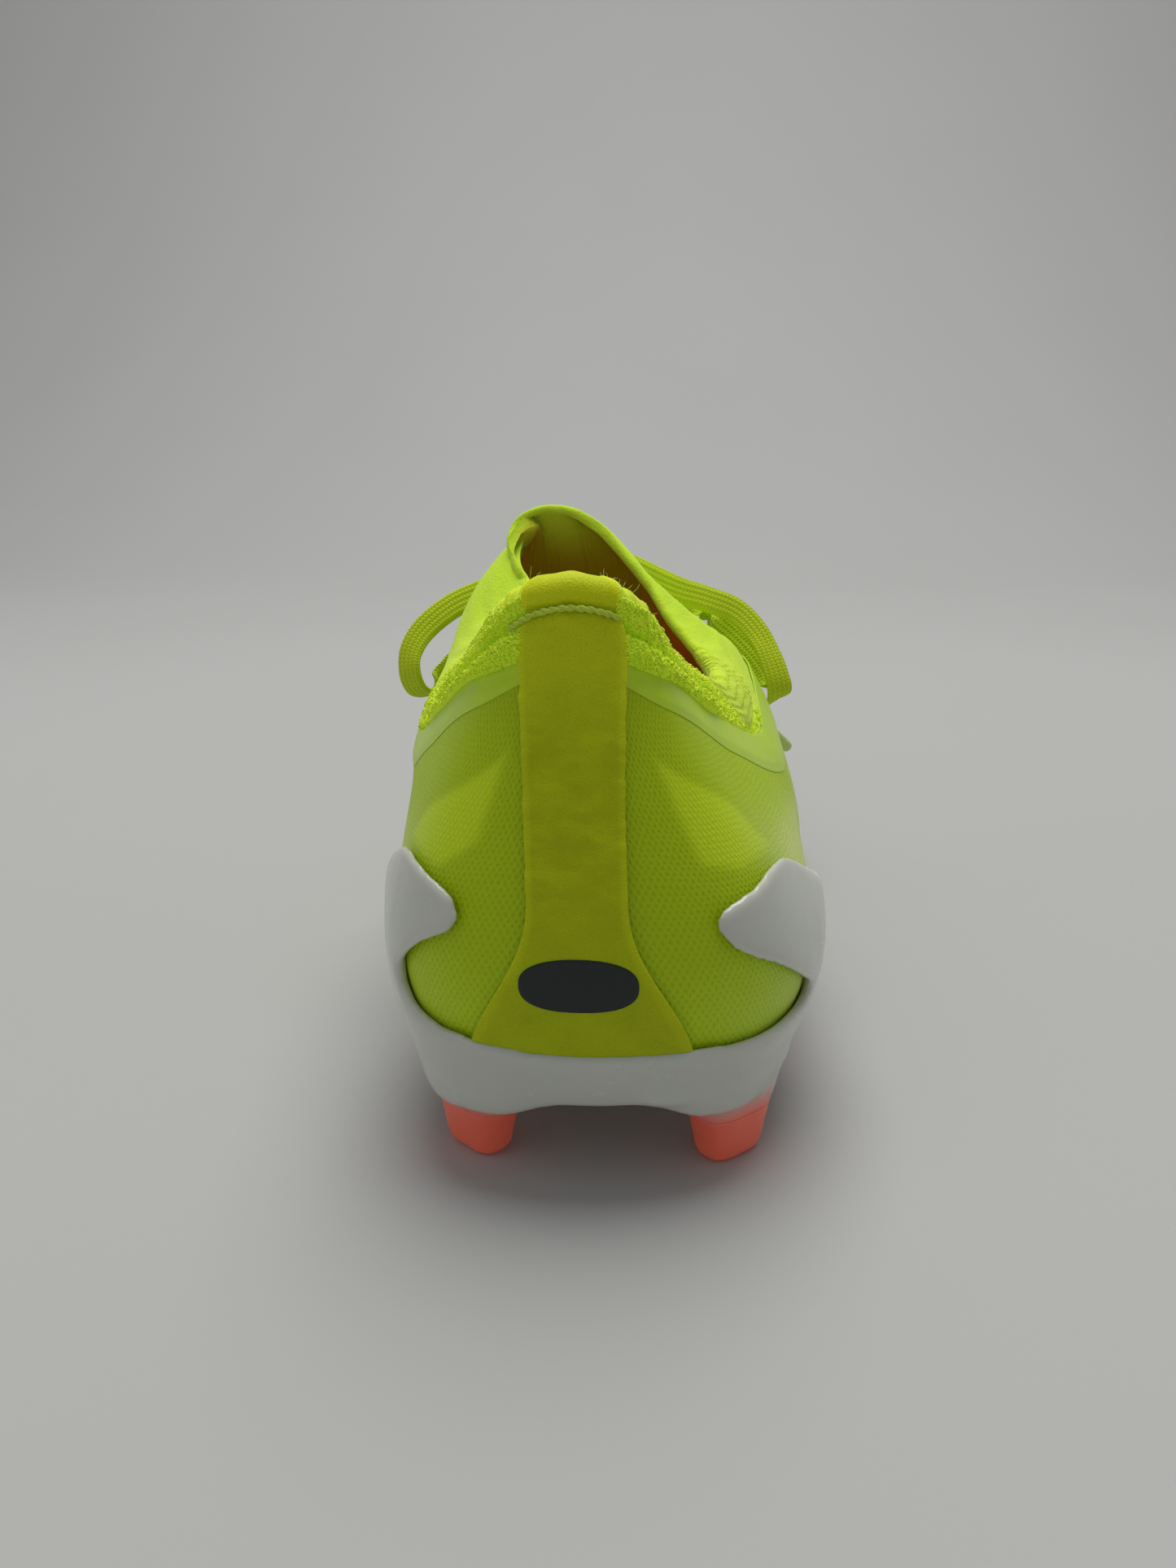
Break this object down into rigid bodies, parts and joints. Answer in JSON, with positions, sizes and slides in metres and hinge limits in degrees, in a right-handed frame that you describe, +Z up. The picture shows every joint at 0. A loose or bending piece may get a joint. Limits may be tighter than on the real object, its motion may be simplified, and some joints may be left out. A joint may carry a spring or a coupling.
{
  "type": "football boot",
  "caption": "Low right-foot football boot: moulded studded outsole with heel wings, mesh upper, padded knit collar, back strip and a tied flat lace.",
  "frame": {"origin": "on the ground under the middle of the boot, its free lace ends left out", "axes": "+Y from heel to toe, +Z up, +X to the outer side of the right foot"},
  "size_m": [0.094, 0.2796, 0.0993],
  "materials": {
    "skin": "knitted mesh under a thin clear film, satin",
    "film": "thin welded film, satin",
    "back_strip": "soft split leather look, matt",
    "badge": "raised print, satin",
    "knit": "looped pile and rib knit, matt",
    "lace": "flat woven lace, matt",
    "aglet": "clear film tube, gloss",
    "foam": "open foam",
    "lining": "brushed textile",
    "sockliner": "textile over moulded foam",
    "board": "pressed fibre board",
    "stiffener": "thermoformed sheet",
    "outsole": "milky translucent moulding, gloss",
    "stud_tip": "translucent moulding, gloss"
  },
  "bodies": {
    "rearfoot": {"collar_film_inner": "film", "collar_film_outer": "film", "collar_foam_inner": "foam", "collar_foam_outer": "foam", "collar_knit": "knit", "eyestay_inner": "film", "eyestay_outer": "film", "heel_badge": "badge", "heel_counter": "stiffener", "heel_lining": "lining", "heel_strip": "back_strip", "insole_board_heel": "board", "lace_aglet_inner": "aglet", "lace_aglet_outer": "aglet", "lace_bar": "lace", "lace_cross_1_over": "lace", "lace_cross_1_under": "lace", "lace_cross_2_over": "lace", "lace_cross_2_under": "lace", "lace_cross_3_over": "lace", "lace_cross_3_under": "lace", "lace_cross_4_over": "lace", "lace_cross_4_under": "lace", "lace_knot": "lace", "lace_loop_inner": "lace", "lace_loop_outer": "lace", "lace_tail_inner": "lace", "lace_tail_outer": "lace", "outsole_heel": "outsole", "sockliner_heel": "sockliner", "stud_ball_inner": "stud_tip", "stud_ball_outer": "stud_tip", "stud_heel_back_inner": "stud_tip", "stud_heel_back_outer": "stud_tip", "stud_heel_front_inner": "stud_tip", "stud_heel_front_outer": "stud_tip", "tongue": "knit", "upper_quarter_inner": "skin", "upper_quarter_outer": "skin", "upper_vamp": "skin"},
    "forefoot": {"outsole_forefoot": "outsole", "insole_board_forefoot": "board", "sockliner_forefoot": "sockliner", "toe_box": "skin", "toe_puff": "stiffener", "stud_middle_outer": "stud_tip", "stud_middle_inner": "stud_tip", "stud_centre_back": "stud_tip", "stud_centre_front": "stud_tip", "stud_toe_outer": "stud_tip", "stud_toe_inner": "stud_tip"}
  },
  "joints": [
    {"name": "toe_flex", "type": "hinge", "parent": "rearfoot", "child": "forefoot", "pos_m": [0, 0.0631, 0.0116], "axis": [1, 0, 0], "range_deg": [0, 25], "stiffness_Nm_per_rad": 2.5, "deforming": ["upper_vamp"]}
  ]
}
